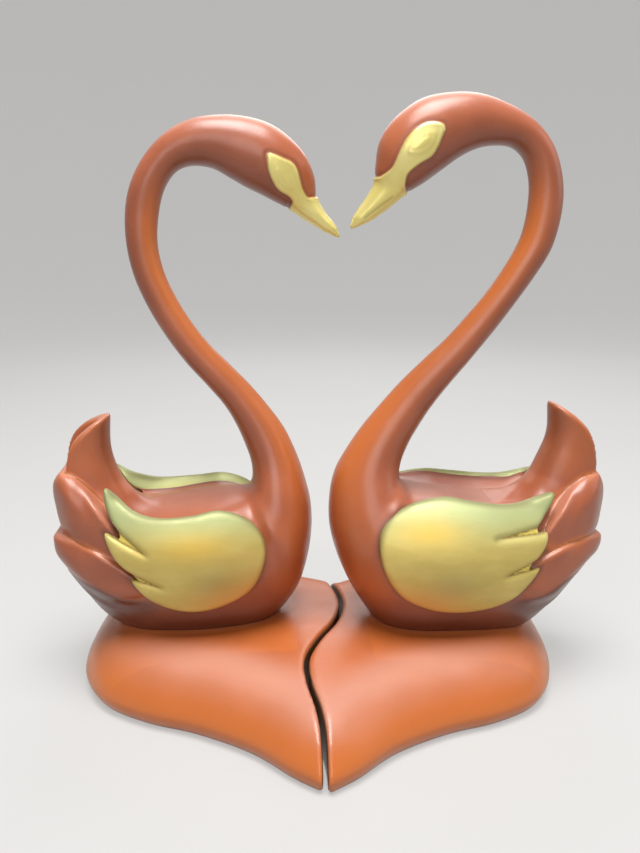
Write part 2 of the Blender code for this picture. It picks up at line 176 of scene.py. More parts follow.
# Wing outlines in forward and height; True marks a sharp corner at a feather tip or a slit
LEFT_WING = [
    (-36.5, 70, True), (-26, 61.2, False), (-15.7, 58.1, False), (0, 58.5, False), (13.4, 60, False),
    (26, 55, False), (32.3, 45, False), (31.4, 33.5, False), (25.1, 22.4, False), (12.8, 15.8, False),
    (1, 13.9, False), (-9.7, 16.3, False), (-19.6, 22.2, False), (-26.7, 31.5, True), (-12.2, 27.9, True),
    (-27, 34.8, True), (-32.5, 40.5, False), (-37.1, 51.4, True), (-17.8, 43, True), (-32.5, 54.6, True),
    (-35.6, 61, False),
]
RIGHT_WING = [
    (-36, 65.5, True), (-24.2, 61.9, False), (-12.7, 61.3, False), (1.5, 63.1, False), (14, 64.8, False),
    (28.5, 62.2, False), (39.5, 55.5, False), (42.8, 46.5, False), (40.5, 34, False), (33, 22.5, False),
    (21.5, 16.2, False), (8.9, 14, False), (-6.5, 15.6, False), (-18.6, 21.3, False), (-28.9, 34.4, True),
    (-10.9, 32.2, True), (-25.8, 38.2, True), (-30, 43.5, False), (-31.7, 49, True), (-6.4, 49.2, True),
    (-26.8, 52, True), (-33.2, 58.5, False),
]

# Tail feather outlines in forward and height, in the same way
LEFT_TOP_FEATHER = [
    (-34.7, 97.7, True), (-44, 92, False), (-51, 84.5, False), (-54.1, 73, False), (-51.5, 59, False),
    (-42.5, 45, False), (-30, 41, False), (-20, 49, False), (-27, 60, False), (-32.2, 70, False),
    (-35.4, 82, False),
]
RIGHT_TOP_FEATHER = [
    (-37.6, 101.8, True), (-48.3, 94.8, False), (-56.3, 85.5, False), (-59.5, 73, False), (-55, 57, False),
    (-45, 45, False), (-30, 41, False), (-20, 51, False), (-28.5, 63, False), (-34.5, 75.5, False),
    (-38.3, 87, False),
]
LEFT_MIDDLE_FEATHER = [
    (-56.5, 73.2, True), (-60, 67.5, False), (-59.6, 58, False), (-56.6, 46, False), (-48, 36, False),
    (-35, 33, False), (-26, 38, False), (-31, 50, False), (-40, 61, False), (-49, 70.5, False),
]
RIGHT_MIDDLE_FEATHER = [
    (-59.8, 70, True), (-64.1, 62, False), (-63.4, 51, False), (-60.4, 42, False), (-50, 33, False),
    (-36, 30, False), (-25, 37, False), (-33, 51, False), (-43, 62, False), (-51, 68, False),
]
LEFT_LOWER_FEATHER = [
    (-61, 45.5, True), (-60.2, 36.5, False), (-56, 28.5, False), (-47.5, 21, False), (-36.5, 16, False),
    (-22.5, 16, False), (-14.5, 23, False), (-23.5, 31, False), (-35.5, 39, False), (-48.5, 44.5, False),
]
RIGHT_LOWER_FEATHER = [
    (-63.5, 41, True), (-62.9, 33, False), (-57.5, 28.5, False), (-46.5, 20.5, False), (-36.5, 14, False),
    (-21.5, 14, False), (-12.5, 23, False), (-23.5, 34, False), (-37.5, 40.5, False), (-50.5, 43.5, False),
]

# Gold mask over the face, in forward and height
LEFT_MASK = [
    (35.9, 203.6), (36.3, 205.1), (39, 204.6), (42.3, 203.3), (46, 201.8), (48, 199.1), (49.2, 195.2),
    (50.4, 191.3), (52.5, 188.5), (55, 188.5), (60, 188), (74, 176), (70, 164), (52, 172), (45, 183),
    (45.4, 184.5), (46.4, 186.7), (44.6, 188.9), (41.8, 190.4), (39.4, 192.4), (37.4, 195.9), (36.2, 199.7),
]
RIGHT_MASK = [
    (17.1, 213.3), (17.6, 215.2), (19.2, 215.9), (22.5, 216.1), (25.2, 215.5), (29.1, 213.2), (32.2, 209.8),
    (34.2, 206), (35.7, 202.3), (37.2, 199.2), (40, 196.9), (42, 196.1), (48, 196), (62, 184), (58, 168),
    (42, 170), (30, 188), (30.5, 190.9), (31.4, 192.8), (31.1, 196.6), (29.1, 198.9), (25.9, 201.2),
    (22, 203.5), (19.7, 206.9), (18.2, 210.7),
]
LEFT_MOUTH = [(49, 185.2), (54, 182.2), (60, 178.2), (64, 175.4)]
RIGHT_MOUTH = [(36.1, 188.4), (41.8, 184.2), (47, 180.2)]

# Almond round the eye: middle in forward and height, half length, half height, tilt in degrees, strength
RIGHT_EYE = (26.0, 208.4, 6.2, 2.7, -36.0, 1.0)
LEFT_EYE = (42.8, 195.6, 4.4, 2.0, -52.0, 0.45)

# Orange sheen on the upper part of each wing, in forward and height
WING_GLOW = {"left": (2, 46), "right": (22, 52)}

# How far the far wall of the top feather is turned back at its widest
LEFT_TWIST = 4.6
RIGHT_TWIST = 0.0

# Grids for the distance fields, lowest corner and size in forward, side and height: body with tail,
# near wing (1) and far wing (-1); margin of the base's grid, and the width of the cells
FIELD_LOW = (-72, -44, -14)
FIELD_SIZE = (118, 89, 122)
WING_FIELD_LOW = {1: (-42, 4, 5), -1: (-42, -42, 5)}
WING_FIELD_SIZE = (90, 38, 72)
BASE_MARGIN = 6
TAIL_VOXEL = 0.8
WING_VOXEL = 0.7
BASE_VOXEL = 1.0

# The tail piece reaches this far from the feathers and sinks below the body's skin on the way
TAIL_PIECE_REACH = 13.0
TAIL_PIECE_SINK = 0.6

# Copper fillet on the inner face of the far wing: its reach, how far it goes from the wing, how
# deep below the wing's outer face it ends and its lowest height; how much longer that wing's tip is
SADDLE_FILL = {"left": 7.0, "right": 10.0}
SADDLE_FILL_LENGTH = 10.0
SADDLE_FILL_DEPTH = 1.6
SADDLE_FILL_LOW = 48.0
FAR_TIP_REACH = {"left": 4.0, "right": 9.0}

# Upper edge of the painted shade under the tail: forward values, heights
UNDER_TAIL = ((-56, -41, -30.5, -14, 0), (29, 25.4, 20.6, 17.7, 14))

# Heights over which the breast's paint turns into the neck's
NECK_HEIGHTS = (55, 85)

# Floor in metres: flat to the first radius, bent up by the second, its rim at the height; then
# the steps of the bend and the sides
FLOOR_RADIUS = 1.2
FLOOR_BEND = 1.2
FLOOR_TOP = 4.0
BEND_STEPS = 12
FLOOR_SIDES = 64

# Lamps: name, place in metres, width, power; all aim at this height above the middle
LAMPS = (
    ("key", (0.0, -0.15, 1.0), 0.55, 12.0), ("front", (-0.1, -1.0, 0.55), 0.7, 4.0),
    ("fill", (0.9, 0.0, 0.5), 0.6, 1.0), ("back", (0.1, 0.9, 0.8), 0.7, 3.5),
)
LAMP_AIM = 0.11

# Camera estimated from the photograph: place in metres, tilt below level, focal length and height
# of the picture in pixels, width of the sensor
CAMERA_PLACE = (-0.0046, -0.3135, 0.1995)
CAMERA_TILT = 13.826
FOCAL_PIXELS = 770
PICTURE_PIXELS = 853
SENSOR_WIDTH = 36


def spline(points, steps):
    """Points on a smooth curve through the given ones, with a number of steps for each span."""
    points = np.asarray(points, dtype=float)
    last = len(points) - 1
    result = []
    counts = steps if hasattr(steps, "__len__") else [steps] * last
    for index in range(last):
        a, b, c, d = [points[min(max(index + offset, 0), last)] for offset in (-1, 0, 1, 2)]
        for step in range(counts[index]):
            t = step / counts[index]
            result.append(b + 0.5 * t * (c - a + t * (2 * a - 5 * b + 4 * c - d + t * (3 * (b - c) + d - a))))
    result.append(points[-1])
    return np.array(result)


def outline(marked_points, steps):
    """A closed outline, smooth between the points that are marked as sharp."""
    corners = [index for index, point in enumerate(marked_points) if point[2]]
    result = []
    for place, first in enumerate(corners):
        last = corners[(place + 1) % len(corners)]
        length = (last - first) % len(marked_points) or len(marked_points)
        run = [marked_points[(first + offset) % len(marked_points)][:2] for offset in range(length + 1)]
        result.append(spline(run, steps)[:-1])
    return np.vstack(result)


def edge_distance(u, v, points, closed=True):
    """Distance in a plane to an outline or a line; inside a closed outline it is negative."""
    points = np.asarray(points, dtype=float)
    ends = np.roll(points, -1, axis=0)
    if not closed:
        points, ends = points[:-1], ends[:-1]
    nearest = np.full(u.shape, 1e9)
    inside = np.zeros(u.shape, dtype=bool)
    for (u0, v0), (u1, v1) in zip(points, ends):
        du, dv = u1 - u0, v1 - v0
        t = np.clip(((u - u0) * du + (v - v0) * dv) / (du * du + dv * dv + 1e-12), 0, 1)
        nearest = np.minimum(nearest, (u - u0 - t * du) ** 2 + (v - v0 - t * dv) ** 2)
        if dv:
            inside ^= ((v0 > v) != (v1 > v)) & (u < u0 + (v - v0) * du / dv)
    nearest = np.sqrt(nearest)
    return np.where(inside, -nearest, nearest) if closed else nearest


def soft_min(a, b, reach):
    """Union of two distance fields with a fillet."""
    h = np.clip(0.5 + 0.5 * (b - a) / reach, 0, 1)
    return b + (a - b) * h - reach * h * (1 - h)


def soft_max(a, b, reach):
    """Overlap of two distance fields with a rounded edge."""
    return -soft_min(-a, -b, reach)


def ramp(value, start, end):
    """0 before start, 1 after end, smooth between."""
    t = np.clip((value - start) / (end - start), 0, 1)
    return t * t * (3 - 2 * t)


def smoothed(values, passes):
    """Values on a flat grid with their creases and points rounded off."""
    for _ in range(passes):
        for axis in (0, 1):
            count = values.shape[axis]
            wide = np.concatenate((np.take(values, [0], axis), values, np.take(values, [-1], axis)), axis)
            before, after = np.take(wide, range(count), axis), np.take(wide, range(2, count + 2), axis)
            values = (before + 2 * values + after) / 4
    return values


def ring_faces(rings, sides):
    """Quads between rings, with fans to a first and a last point that follow the ring points."""
    faces = []
    for ring in range(rings - 1):
        for side in range(sides):
            after = (side + 1) % sides
            faces.append((ring * sides + side, ring * sides + after,
                          (ring + 1) * sides + after, (ring + 1) * sides + side))
    first, last = rings * sides, rings * sides + 1
    for side in range(sides):
        after = (side + 1) % sides
        faces.append((first, after, side))
        faces.append((last, (rings - 1) * sides + side, (rings - 1) * sides + after))
    return faces


class Field:
    """A block of distance values on a regular grid, in millimetres."""

    def __init__(self, low, size, voxel):
        self.low = np.array(low, dtype=float)
        self.voxel = voxel
        self.shape = tuple(int(math.ceil(length / voxel)) + 1 for length in size)
        axes = [self.low[axis] + voxel * np.arange(self.shape[axis]) for axis in range(3)]
        self.axes = axes
        self.x, self.y, self.z = np.meshgrid(*axes, indexing="ij", sparse=True)

    def of_mesh(self, points, faces, reach=9.0):
        """Distance to a closed mesh, right to within reach."""
        quads = np.array([face for face in faces if len(face) == 4], dtype=np.uint32).reshape(-1, 4)
        triangles = np.array([face for face in faces if len(face) == 3], dtype=np.uint32).reshape(-1, 3)
        local = (np.asarray(points) - self.low) / self.voxel
        grid = vdb.FloatGrid.createLevelSetFromPolygons(
            local.astype(np.float32), triangles, quads, halfWidth=reach / self.voxel)
        values = np.empty(self.shape, dtype=np.float32)
        grid.copyToArray(values, ijk=(0, 0, 0))
        return values.astype(float) * self.voxel

    def surface(self, values):
        """Points and faces of the surface where the values pass through nothing."""
        clipped = np.clip(values, -4 * self.voxel, 4 * self.voxel).astype(np.float32)
        grid = vdb.FloatGrid(float(4 * self.voxel))
        grid.copyFromArray(clipped, ijk=(0, 0, 0), tolerance=0.0)
        points, triangles, quads = grid.convertToPolygons(isovalue=0.0, adaptivity=0.0)
        faces = [tuple(int(i) for i in reversed(face)) for face in quads]
        faces += [tuple(int(i) for i in reversed(face)) for face in triangles]
        return np.asarray(points, dtype=float) * self.voxel + self.low, faces

    def at(self, values, points):
        """Values between the grid points."""
        local = (np.asarray(points) - self.low) / self.voxel
        top = np.array(self.shape) - 1.001
        local = np.clip(local, 0, top)
        base = local.astype(int)
        part = local - base
        total = 0.0
        for corner in np.ndindex(2, 2, 2):
            weight = np.prod(np.where(corner, part, 1 - part), axis=1)
            index = base + corner
            total = total + weight * values[index[:, 0], index[:, 1], index[:, 2]]
        return total


class Swan:
    """One swan: where it sits, which way it faces and its own outlines."""

    def __init__(self, side, seat_x, facing, sections, wing, feathers, twist, mask, mouth, eye, head_from):
        self.side = side
        self.seat_x = seat_x
        self.facing = facing
        self.sections = sections
        self.wing = wing
        self.feathers = feathers
        self.twist = twist
        self.mask = mask
        self.mouth = mouth
        self.eye = eye
        self.head_from = head_from

    def place(self, points):
        """Places on the base of points in the swan's own frame."""
        turn = math.radians(SWAN_TURN)
        forward, side, height = np.asarray(points).T
        x = self.seat_x + forward * self.facing * math.cos(turn) + side * math.sin(turn)
        y = SEAT_Y + forward * self.facing * math.sin(turn) - side * math.cos(turn)
        return np.column_stack((x, y, BASE_THICKNESS + height))

    def unplace(self, points):
        """The swan's own frame again from places on the base."""
        turn = math.radians(SWAN_TURN)
        x = points[:, 0] - self.seat_x
        y = points[:, 1] - SEAT_Y
        forward = self.facing * (x * math.cos(turn) + y * math.sin(turn))
        side = x * math.sin(turn) - y * math.cos(turn)
        return np.column_stack((forward, side, points[:, 2] - BASE_THICKNESS))


def volume_sign(points, faces):
    """1 where the faces look outwards, -1 where they look inwards; of many faces some are enough."""
    total = 0.0
    for face in (faces[::7] if len(faces) > 70000 else faces):
        a, b, c = points[face[0]], points[face[1]], points[face[2]]
        total += a[0] * (b[1] * c[2] - b[2] * c[1]) - a[1] * (b[0] * c[2] - b[2] * c[0])
        total += a[2] * (b[0] * c[1] - b[1] * c[0])
    return 1 if total > 0 else -1


def make_piece(name, points, faces, masks, materials, node):
    """A smooth piece with its paint masks, which stands for its swan's casting."""
    if volume_sign(points, faces) < 0:
        faces = [tuple(reversed(face)) for face in faces]
    mesh = bpy.data.meshes.new(name)
    mesh.from_pydata((np.asarray(points) * MM).tolist(), [], faces)
    for mask, values in masks.items():
        layer = mesh.attributes.new(mask, "FLOAT", "POINT")
        layer.data.foreach_set("value", np.asarray(values, dtype=np.float32))
    mesh.shade_smooth()
    for material in materials:
        mesh.materials.append(material)
    piece = bpy.data.objects.new(name, mesh)
    bpy.context.scene.collection.objects.link(piece)
    mesh.update()
    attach(piece, "root")
    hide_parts(node)
    return piece


def point_normals(points, faces):
    """Unit normals at the points of a mesh."""
    normals = np.zeros_like(points)
    for count in (3, 4):
        chosen = np.array([face for face in faces if len(face) == count], dtype=int)
        if not len(chosen):
            continue
        corner = points[chosen]
        across = np.cross(corner[:, 2] - corner[:, 0], corner[:, count - 1] - corner[:, 1])
        for column in range(count):
            np.add.at(normals, chosen[:, column], across)
    normals *= volume_sign(points, faces)
    return normals / np.maximum(np.linalg.norm(normals, axis=1, keepdims=True), 1e-9)


def under_tail(forward, height):
    """1 where the body comes out below the tail and gets painted shade, 0 elsewhere."""
    return (1 - ramp(height - np.interp(forward, *UNDER_TAIL), -1.2, 1.2)) * (1 - ramp(forward, -22, 0))


def skin_masks(points, normals):
    """Airbrushed orange, painted shade and painted highlight of body, neck, head and tail, by place and by
    the way the surface looks.
    """
    forward, side, height = points.T
    front = ramp(normals[:, 0] - 0.35 * normals[:, 2], -0.35, 0.75)
    neck = ramp(height, *NECK_HEIGHTS) * (1 - 0.8 * ramp(height, 170, 205))
    chest = ramp(forward, 26, 46) * (1 - ramp(height, *NECK_HEIGHTS)) * ramp(height, 4, 26)
    # Painted shade, darker towards the bottom of the body where it meets the base
    low = 1 - ramp(height - 0.1 * np.abs(side), 3, 24)
    # Painted shade under the head and inside the hook of the neck
    shade_under_head = 0.6 * ramp(-normals[:, 2], 0.2, 0.9) * ramp(height, 140, 165)
    return {
        "orange": np.clip(front * (0.85 * neck + 0.4 * chest), 0, 1),
        "dark": np.maximum(low, np.maximum(under_tail(forward, height), shade_under_head)),
        # Painted highlight on the upward-facing top of the crown
        "highlight_and_filler": ramp(normals[:, 2], 0.5, 0.97) * ramp(height, 196, 214),
    }


def wing_shade(distance):
    """Dark shade on the copper close to a wing."""
    return 0.75 * np.exp(-(np.clip(distance, 0, None) / 1.1) ** 2)


def body_mesh(swan, sides, steps, head_steps):
    """Skin of body, neck, head and beak over sections that fan round the root of the neck."""
    counts = [head_steps if index >= swan.head_from else steps for index in range(len(swan.sections) - 1)]
    rows = spline(swan.sections, counts)
    wideness = np.clip((rows[:, 4] - ROUND_HALF_WIDTH) / (FLAT_HALF_WIDTH - ROUND_HALF_WIDTH), 0, 1)
    back_power = (1 - SADDLE_FLATNESS * wideness)[:, None]
    angle = 2 * math.pi * np.arange(sides) / sides
    sine, cosine = np.sin(angle)[None, :], np.cos(angle)[None, :]
    power = np.where(cosine < 0, back_power, 1.0)
    across = rows[:, 4:5] * np.sign(sine) * np.abs(sine) ** power
    share = (1 - np.sign(cosine) * np.abs(cosine) ** power) / 2
    forward = rows[:, 0:1] + (rows[:, 2:3] - rows[:, 0:1]) * share
    height = rows[:, 1:2] + (rows[:, 3:4] - rows[:, 1:2]) * share
    points = np.stack((forward, across, height), axis=2)
    near_root = np.exp(-((forward - 24) / 13) ** 2 - ((height - 66) / 12) ** 2)[:, :, None]
    for _ in range(30):
        around = sum(np.roll(points, step, axis) for axis in (1, 0) for step in (1, -1))
        points = points + near_root * (around / 4 - points)
    middles = points.mean(axis=1)
    onward = middles[-1] - middles[-5]
    for back in range(1, 10):
        points[-back] = middles[-back] + (points[-back] - middles[-back]) * (back / 10) ** 0.6
    ends = [middles[0], middles[-1] + 0.4 * onward / np.linalg.norm(onward)]
    return np.vstack([points.reshape(-1, 3), ends]), ring_faces(len(rows), sides)


def eye_distance(eye, forward, height):
    """Distance from an almond-shaped line round the eye."""
    middle_f, middle_h, long, short, tilt = eye[:5]
    turn = math.radians(tilt)
    u = (forward - middle_f) * math.cos(turn) + (height - middle_h) * math.sin(turn)
    v = -(forward - middle_f) * math.sin(turn) + (height - middle_h) * math.cos(turn)
    lens = short * np.clip(1 - (u / long) ** 2, 0, None)
    return np.where(np.abs(u) < long, np.abs(v) - lens, np.hypot(np.abs(u) - long, v))


def body_piece(swan, paints, wing_field):
    """Body with the relief of the mask, the mouth line and the eyes."""
    points, faces = body_mesh(swan, *BODY_SKIN)
    forward, side, height = points.T
    normals = point_normals(points, faces)
    head = ramp(height, 158, 166)
    flank = ramp(np.abs(side), 0.4, 2.0)
    mask = edge_distance(forward, height, spline(swan.mask + swan.mask[:1], 4)[:-1])
    mask = np.where(head > 0, mask, 30.0)
    mouth = edge_distance(forward, height, spline(swan.mouth, 5), closed=False)
    ring = eye_distance(swan.eye, forward, height)
    strength = swan.eye[5]
    # Relief in this order: mask, its rim, the furrow round it, mouth, line round the eye, eyeball
    lift = 0.4 * ramp(-mask, -0.2, 0.8)
    lift += 0.3 * strength * np.exp(-((mask + 0.7) / 0.55) ** 2)
    lift -= 0.3 * np.exp(-((mask - 0.7) / 0.6) ** 2)
    lift -= 0.2 * strength ** 2 * np.exp(-(mouth / 0.6) ** 2) * flank
    lift += strength * 0.4 * np.exp(-(ring / 0.5) ** 2) * flank
    lift += strength * 0.35 * ramp(-ring, 0.4, 1.8) * flank
    points = points + normals * (lift * head)[:, None]
    masks = skin_masks(points, normals)
    masks["gold"] = np.clip(0.5 - mask / 0.7, 0, 1) * head
    masks["dark"] = np.maximum(masks["dark"], wing_shade(wing_field))
    # Painted shade in the mouth line and in the furrow round the gold mask
    masks["crease_shade"] = 0.3 * strength ** 2 * np.exp(-(mouth / 0.5) ** 2) * head * flank
    masks["crease_shade"] += 0.3 * np.exp(-((mask - 0.8) / 0.6) ** 2) * head
    make_piece(swan.side + "_body", swan.place(points), faces, masks, [paints["copper"]],
               swan.side + "_swan")


def wing_face(swan, field, facing):
    """How far outside the domed outer face of a wing each point lies."""
    edge = outline(swan.wing, OUTLINE_STEPS)
    middle = (edge.min(axis=0) + edge.max(axis=0)) / 2
    half = (edge.max(axis=0) - edge.min(axis=0)) / 2
    f, h = np.meshgrid(field.axes[0], field.axes[2], indexing="ij")
    u, v = (f - middle[0]) / half[0], (h - middle[1]) / half[1]
    out = np.maximum(u ** 2 + v ** 2, 1e-6)
    rim = (np.where(v > 0, WING_TOP_SIDE, WING_BOTTOM_SIDE) * v ** 2
           + np.where(u > 0, WING_FRONT_SIDE, WING_REAR_SIDE) * u ** 2) / out
    dome = smoothed(rim + (WING_MIDDLE_SIDE - rim) * (1 - np.minimum(out, 1.25)), 12)
    return facing * field.y - dome[:, None, :]


def wing_values(swan, field, facing):
    """Distance field of a domed wing with rounded rims and slits between its feather tips."""
    tip_f, tip_h, _ = swan.wing[0]
    tip = (tip_f - (FAR_TIP_REACH[swan.side] if facing == -1 else 0.0), tip_h, True)
    f, h = np.meshgrid(field.axes[0], field.axes[2], indexing="ij")
    sharp = edge_distance(f, h, outline([tip] + swan.wing[1:], OUTLINE_STEPS))
    flat = smoothed(sharp, 3)
    slab = wing_face(swan, field, facing)
    depth = WING_RIM_DEPTH + WING_MIDDLE_DEPTH * ramp(-flat, 0, 6) + WING_TIP_DEPTH * ramp(-f, 8, 30)
    values = soft_max(slab, flat[:, None, :], WING_RIM_ROLL)
    slit_floor = np.maximum(slab + SLIT_DEPTH, (smoothed(sharp, 40) + 0.6)[:, None, :])
    return soft_max(np.minimum(values, slit_floor), -slab - depth[:, None, :], WING_INNER_ROLL)


def front_edge(f, flat):
    """For each height, how far forward the outline reaches."""
    inside = flat < 0
    last = np.where(inside.any(axis=0), flat.shape[0] - 1 - inside[::-1].argmax(axis=0), 0)
    columns = np.arange(flat.shape[1])
    here, beyond = flat[last, columns], flat[np.minimum(last + 1, flat.shape[0] - 1), columns]
    part = np.where(inside.any(axis=0), here / np.minimum(here - beyond, -1e-6), 0)
    return f[last, columns] + (f[1, 0] - f[0, 0]) * part


def feather_values(field, marked_points, half_width, twist=0.0, nose=0.0, taper=(0.0, 0.0)):
    """Distance field of a tail feather.

    Its far wall is turned back by the twist, its front edge is rounded over the length of the nose,
    and towards its lower and its upper edge it gets narrower by the shares of the taper.
    """
    f, h = np.meshgrid(field.axes[0], field.axes[2], indexing="ij")
    edge = outline(marked_points, OUTLINE_STEPS)
    sharp = edge_distance(f, h, edge)
    flat = smoothed(sharp, 2)[:, None, :]
    if twist:
        lean = twist * ramp(edge[:, 1].max() - h, -1.0, 7.0)
        turned = smoothed(edge_distance(f + lean, h + 0.3 * lean, edge), 2)[:, None, :]
        flat = flat + (turned - flat) * ramp(-field.y, 0.0, 0.5 * half_width)
    back = np.clip((TAIL_WIDEST_FORWARD - f) / TAIL_REACH, 0, 0.985)
    width = half_width * np.sqrt(1 - back ** 2)
    if any(taper):
        upper = ramp(h - np.interp(f, *UNDER_TAIL), 0, 10)
        share = taper[0] * (1 - upper) + taper[1] * upper * (1 - ramp(f, -48, -38))
        width = smoothed(width * (1 - share * (1 - np.clip(-sharp / FEATHER_SLOPE, 0, 1)) ** 2), 3)
    if nose:
        behind = np.clip((front_edge(f, sharp)[None, :] - f) / nose, 0, 1)
        width = smoothed(width * (0.08 + 0.92 * np.sqrt(1 - (1 - behind) ** 2)), 6)
    return soft_max(np.abs(field.y) - width[:, None, :], flat, FEATHER_ROLL)


def scoop_mesh(swan):
    """The hollow in the back of the top tail feather."""
    tip_f, tip_h = swan.feathers["top"][0][:2]
    rows = spline(SCOOP_PATH, SCOOP_STEPS)
    angle = 2 * math.pi * np.arange(SCOOP_SIDES) / SCOOP_SIDES
    forward = tip_f - rows[:, 0:1] + rows[:, 2:3] * np.cos(angle)[None, :]
    side = rows[:, 3:4] * np.sin(angle)[None, :]
    height = np.repeat(tip_h - rows[:, 1:2], SCOOP_SIDES, axis=1)
    points = np.stack((forward, side, height), axis=2)
    ends = [points[0].mean(axis=0), points[-1].mean(axis=0)]
    return np.vstack([points.reshape(-1, 3), ends]), ring_faces(len(rows), SCOOP_SIDES)


def swan_pieces(swan, paints):
    """Makes all pieces of one swan above its base; returns its grid and the distances to its body."""
    field = Field(FIELD_LOW, FIELD_SIZE, TAIL_VOXEL)
    body_points, body_faces = body_mesh(swan, *BODY_SKIN)
    body = field.of_mesh(body_points, body_faces)
    top = feather_values(field, swan.feathers["top"], TOP_FEATHER_HALF_WIDTH, swan.twist, TOP_FEATHER_NOSE)
    top = soft_max(top, -field.of_mesh(*scoop_mesh(swan)), SCOOP_ROLL)
    middle = feather_values(field, swan.feathers["middle"], MIDDLE_FEATHER_HALF_WIDTH, taper=(0.3, 0.3))
    lower = feather_values(field, swan.feathers["lower"], LOWER_FEATHER_HALF_WIDTH, taper=(0.4, 0.1))
    near = wing_values(swan, field, 1)
    far = wing_values(swan, field, -1)
    tail = np.minimum(np.minimum(middle, lower), top)
    upper = soft_min(body, top, TAIL_BLEND[swan.side])
    lower_blend = LAYER_BLEND + UNDER_TAIL_BLEND * under_tail(field.x, field.z)
    whole = soft_min(soft_min(upper, middle, LAYER_BLEND), lower, lower_blend)
    hidden = TAIL_PIECE_SINK * ramp(tail, 8.0, 12.0)
    inward = -wing_face(swan, field, -1)
    reach = np.maximum(SADDLE_FILL[swan.side] * ramp(inward, 1.0, 4.0), 0.05)
    fill = soft_min(upper, far + 0.2, reach) + 0.6
    bounds = np.maximum(SADDLE_FILL_DEPTH - inward, SADDLE_FILL_LOW - field.z)
    fill = np.maximum(np.maximum(fill, far - SADDLE_FILL_LENGTH), bounds)
    points, faces = field.surface(np.minimum(np.maximum(whole + hidden, tail - TAIL_PIECE_REACH), fill))
    parts = [field.at(values, points) for values in (np.minimum(top, body), middle, lower)]
    layers = np.array([field.at(values, points) for values in (top, middle, lower)])
    nearest = np.sort(np.array(parts), axis=0)
    above = 1 - under_tail(points[:, 0], points[:, 2])
    valley = np.exp(-((nearest[1] - nearest[0]) / 1.2) ** 2) * ramp(points[:, 2], 14, 26) * above
    wings = np.minimum(near, far)
    normals = point_normals(points, faces)
    masks = skin_masks(points, normals)
    f, h = points[:, 0], points[:, 2]
    edges = [outline(swan.feathers[layer], PAINT_STEPS) for layer in swan.feathers]
    rims = np.array([np.abs(edge_distance(f, h, edge)) for edge in edges])
    own_rim = rims[np.argmin(layers, axis=0), np.arange(len(points))]
    rim = np.exp(-(own_rim / 1.4) ** 2) * (1 - ramp(layers.min(axis=0), 0.5, 2.0))
    rim = rim * ramp(normals[:, 2], -0.5, 0.2)
    masks["gold"] = np.zeros(len(points))
    high = ramp(h, 62, 78)
    inner = ramp(normals[:, 0], 0.15, 0.8) * high
    orange = np.maximum(masks["orange"] * (1 - high), 0.9 * valley + 0.3 * rim + 0.3 * high)
    masks["orange"] = np.clip(orange, 0, 1)
    masks["dark"] = np.maximum(masks["dark"], wing_shade(field.at(wings, points)))
    # Painted shade on the faces high on the tail that look forward, towards the neck
    masks["dark"] = np.maximum(masks["dark"], 0.5 * inner)
    # Painted shade in the creases between the layers of feathers
    masks["crease_shade"] = 0.75 * np.exp(-((nearest[1] - nearest[0]) / 0.55) ** 2) * ramp(h, 14, 26) * above
    # Painted highlight on the upward-facing rims of the feathers
    masks["highlight_and_filler"] = np.maximum(masks["highlight_and_filler"], 0.6 * rim * ramp(normals[:, 2], 0.1, 0.7) * ramp(h, 30, 45))
    masks["wear"] = rim * ramp(-f, 44, 50)
    make_piece(swan.side + "_tail", swan.place(points), faces, masks, [paints["copper"]],
               swan.side + "_swan")
    low, high = np.array(FIELD_LOW) + 1, np.array(FIELD_LOW) + np.array(FIELD_SIZE) - 1
    inside = ((body_points > low) & (body_points < high)).all(axis=1)
    wing_field = np.where(inside, field.at(wings, body_points), 50.0)
    body_piece(swan, paints, wing_field)
    for name, facing in (("near_wing", 1), ("far_wing", -1)):
        fine = Field(WING_FIELD_LOW[facing], WING_FIELD_SIZE, WING_VOXEL)
        points, faces = fine.surface(wing_values(swan, fine, facing))
        f, h = points[:, 0], points[:, 2]
        edge = -edge_distance(f, h, outline(swan.wing, PAINT_STEPS))
        top_f, top_h = WING_GLOW[swan.side]
        notch = ramp(-f, 2, 12) * (1 - ramp(h, 52, 58)) * ramp(facing * points[:, 1], 20, 24)
        masks = {
            # Painted reflection over the upper part of the wing
            "top_reflection": ramp(h, 42, 60),
            "warm": ramp(f, -8, 26) * (1 - ramp(h, 16, 38)),
            "glow": np.exp(-((f - top_f) / 15) ** 2 - ((h - top_h) / 6) ** 2),
            "olive": np.exp(-((f - 12) / 13) ** 2 - ((h - 29) / 8) ** 2),
            # Painted shade round the wing's rim, wider along its top edge, left out among the feather tips
            "rim": np.exp(-(np.clip(edge, 0, None) / (0.9 + 0.8 * ramp(h, 42, 55))) ** 2) * (1 - notch),
            "slit": (1 - ramp(edge, -0.7, 0.1)) * notch,
            "shade": np.exp(-((edge + 0.2) / 0.35) ** 2) * notch,
        }
        make_piece(swan.side + "_" + name, swan.place(points), faces, masks, [paints["gold"]],
                   swan.side + "_swan")
    return field, body


def heart_outline():
    """The heart seen from above, with the tip and the notch off its middle line."""
    right = spline(HEART_CURVE, OUTLINE_STEPS)
    both = np.vstack([right, right[-2:0:-1] * (-1, 1)])
    across, along = both.T
    y = HEART_TIP_Y + along * (HEART_BACK_Y - HEART_TIP_Y)
    notch = HEART_NOTCH_LEAN * np.clip(1 - np.abs(across) / NOTCH_LEAN_REACH, 0, None)
    lean = np.where(y < 0, HEART_TIP_LEAN * y / HEART_TIP_Y, notch)
    return np.column_stack((HEART_X + across * HEART_HALF_WIDTH + lean, y))


